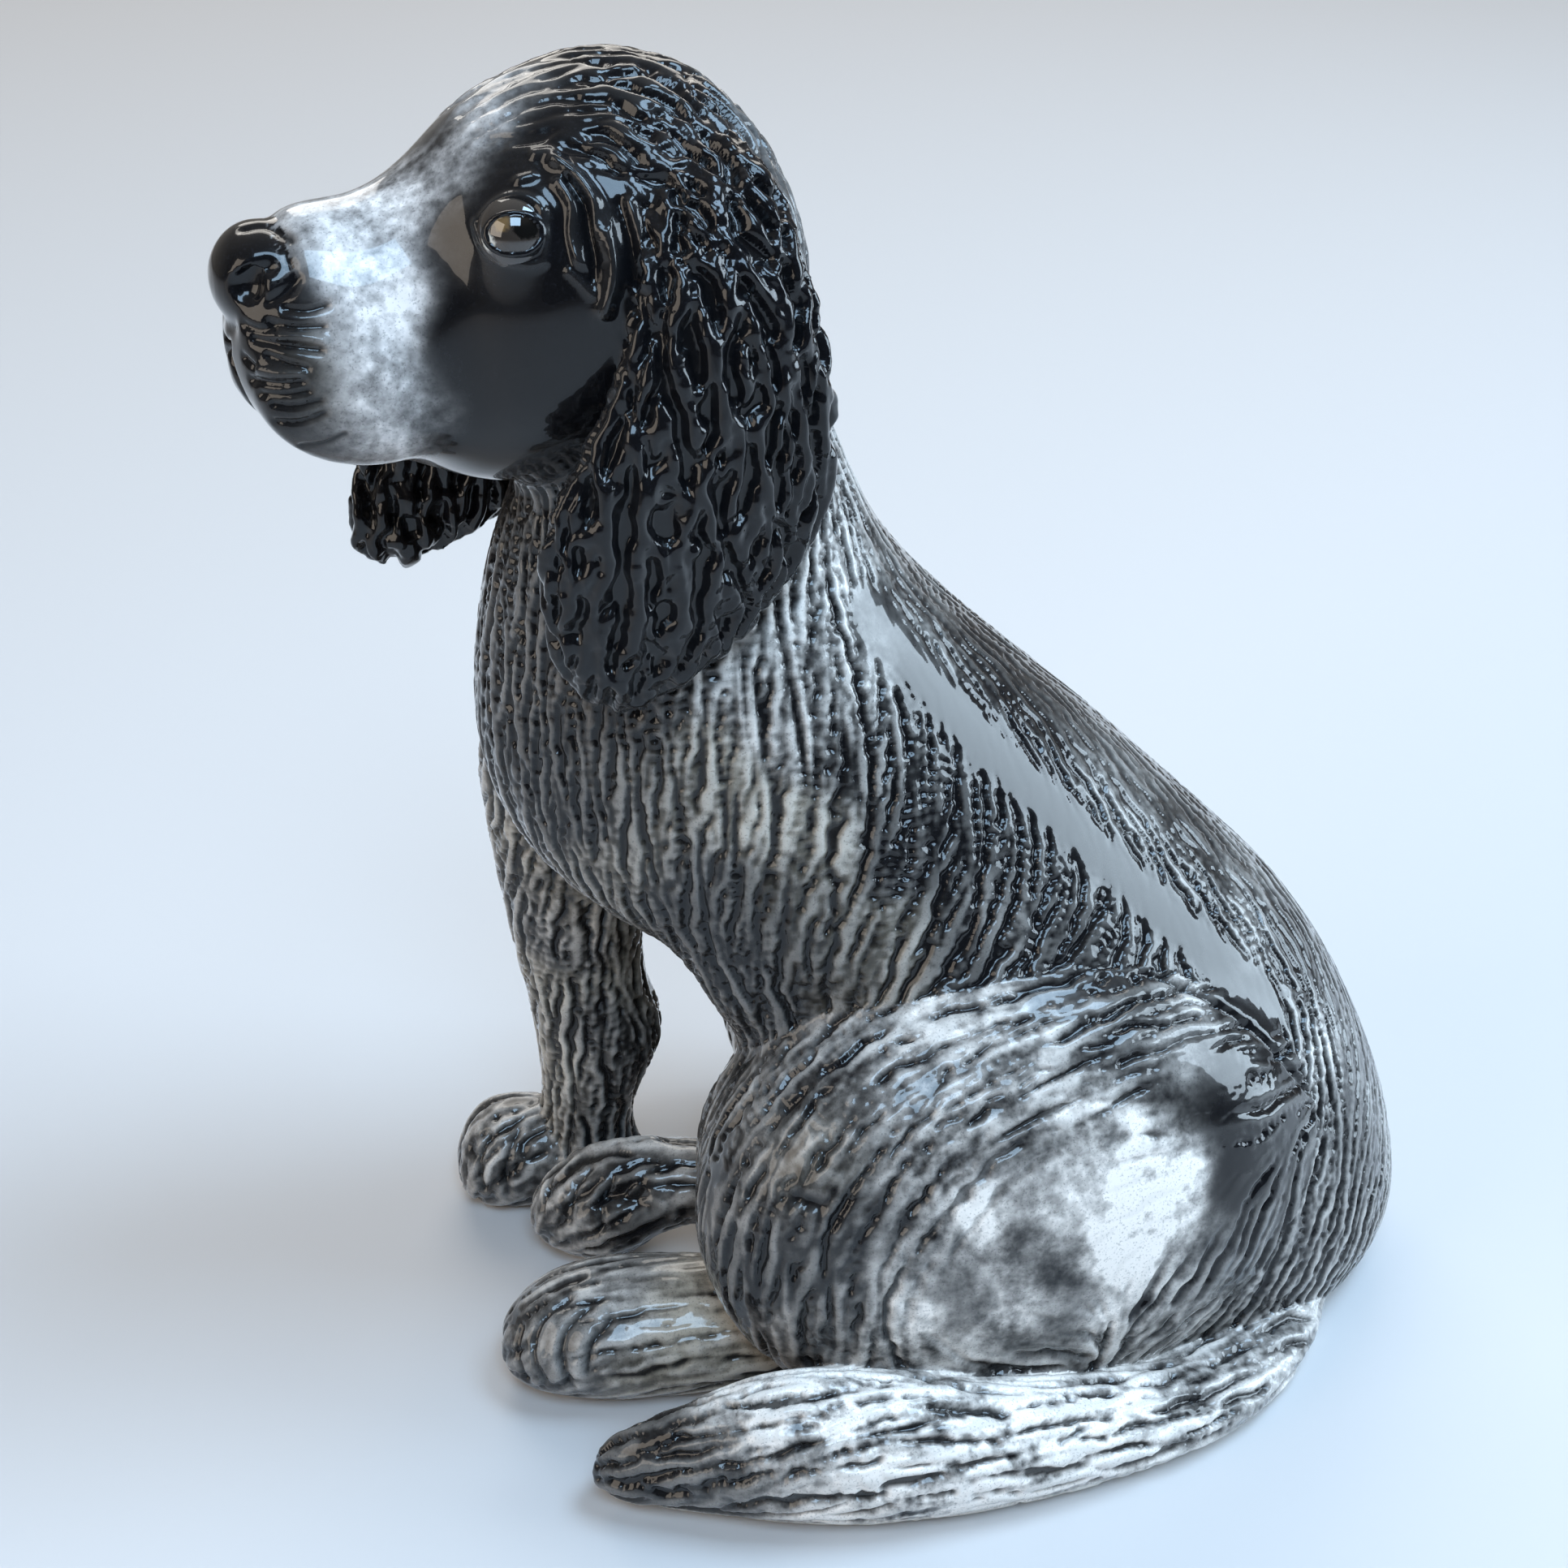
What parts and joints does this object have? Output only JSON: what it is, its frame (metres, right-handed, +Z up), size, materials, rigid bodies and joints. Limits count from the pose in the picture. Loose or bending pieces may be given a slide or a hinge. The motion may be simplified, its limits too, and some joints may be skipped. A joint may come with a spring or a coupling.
{
  "type": "sitting spaniel figurine",
  "caption": "Glossy glazed pottery spaniel puppy, sitting with its tail curled round its side; stands on a shelf as an ornament.",
  "frame": {"origin": "centre of the round pour hole on the flat base", "axes": "+Z up from the base, -X the way the head and paws face, -Y the dog's left side, where the tail lies"},
  "size_m": [0.1157, 0.0765, 0.1284],
  "materials": {
    "roan_glaze": "carved fur, mottled black and white pigment under a clear gloss glaze",
    "pale_roan_glaze": "grey-white watery blotches and dark strokes under a clear gloss glaze",
    "head_glaze": "smooth black cheeks and a grey-white blaze under a clear gloss glaze",
    "black_glaze": "deep black gloss over carved locks",
    "eye_glaze": "black-brown gloss ball with a white inner corner"
  },
  "bodies": {
    "root": {"torso_shell": "roan_glaze", "head_shell": "head_glaze", "nose": "black_glaze", "left_eye": "eye_glaze", "right_eye": "eye_glaze", "left_brow": "head_glaze", "right_brow": "head_glaze", "left_flew": "head_glaze", "right_flew": "head_glaze", "left_ear": "black_glaze", "right_ear": "black_glaze", "left_foreleg": "roan_glaze", "right_foreleg": "roan_glaze", "left_forepaw": "roan_glaze", "right_forepaw": "roan_glaze", "left_haunch": "pale_roan_glaze", "right_haunch": "pale_roan_glaze", "left_hind_foot": "roan_glaze", "right_hind_foot": "roan_glaze", "tail": "pale_roan_glaze"}
  },
  "joints": []
}
